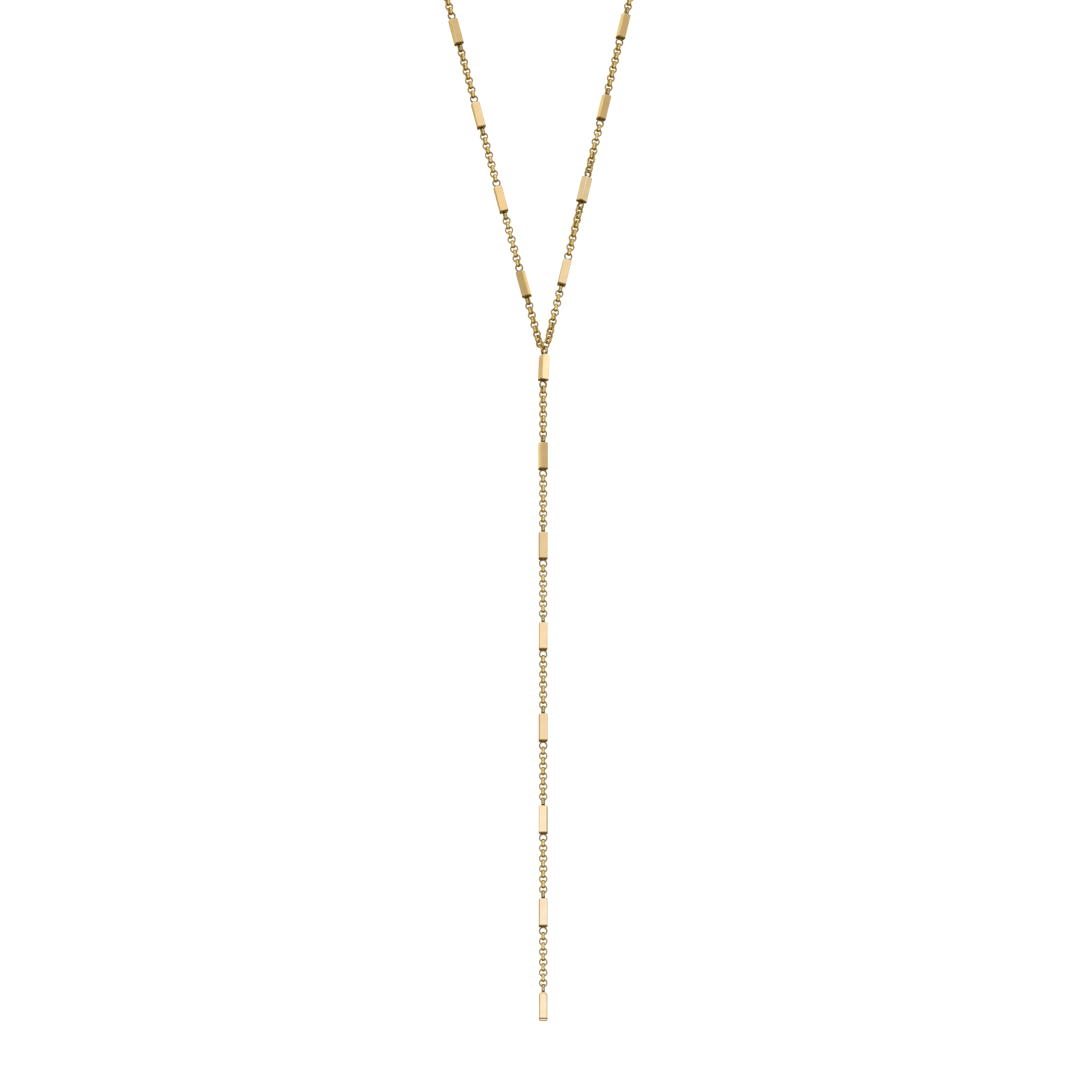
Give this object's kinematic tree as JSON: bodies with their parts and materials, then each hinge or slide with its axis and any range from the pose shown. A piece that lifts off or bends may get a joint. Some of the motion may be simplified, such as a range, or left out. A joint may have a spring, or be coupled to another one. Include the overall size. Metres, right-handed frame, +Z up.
{
  "type": "y necklace",
  "caption": "Y necklace of round-link chain set with square bars: a loop for the neck and a straight drop of the same chain that ends in a bar.",
  "frame": {"origin": "middle of the back of the loop, on the line of the chain, where the necklace rests on the nape of the neck", "axes": "+Z up, -Y to the front where the drop hangs, +X to the right as the front is looked at"},
  "size_m": [0.1127, 0.1021, 0.3559],
  "materials": {
    "bar_gold": "polished",
    "chain_gold": "polished",
    "clasp_gold": "polished"
  },
  "bodies": {
    "root": {"left_chain": "chain_gold", "right_chain": "chain_gold", "drop_chain": "chain_gold", "back_chain": "chain_gold", "clasp": "clasp_gold", "drop_bar_1": "bar_gold", "drop_bar_2": "bar_gold", "drop_bar_3": "bar_gold", "drop_bar_4": "bar_gold", "drop_bar_5": "bar_gold", "drop_bar_6": "bar_gold", "drop_bar_7": "bar_gold", "drop_bar_8": "bar_gold", "left_bar_1": "bar_gold", "left_bar_2": "bar_gold", "left_bar_3": "bar_gold", "left_bar_4": "bar_gold", "left_bar_5": "bar_gold", "left_bar_6": "bar_gold", "left_bar_7": "bar_gold", "left_bar_8": "bar_gold", "left_bar_9": "bar_gold", "left_bar_10": "bar_gold", "left_bar_11": "bar_gold", "left_bar_12": "bar_gold", "left_bar_13": "bar_gold", "right_bar_1": "bar_gold", "right_bar_2": "bar_gold", "right_bar_3": "bar_gold", "right_bar_4": "bar_gold", "right_bar_5": "bar_gold", "right_bar_6": "bar_gold", "right_bar_7": "bar_gold", "right_bar_8": "bar_gold", "right_bar_9": "bar_gold", "right_bar_10": "bar_gold", "right_bar_11": "bar_gold", "right_bar_12": "bar_gold", "right_bar_13": "bar_gold"}
  },
  "joints": []
}
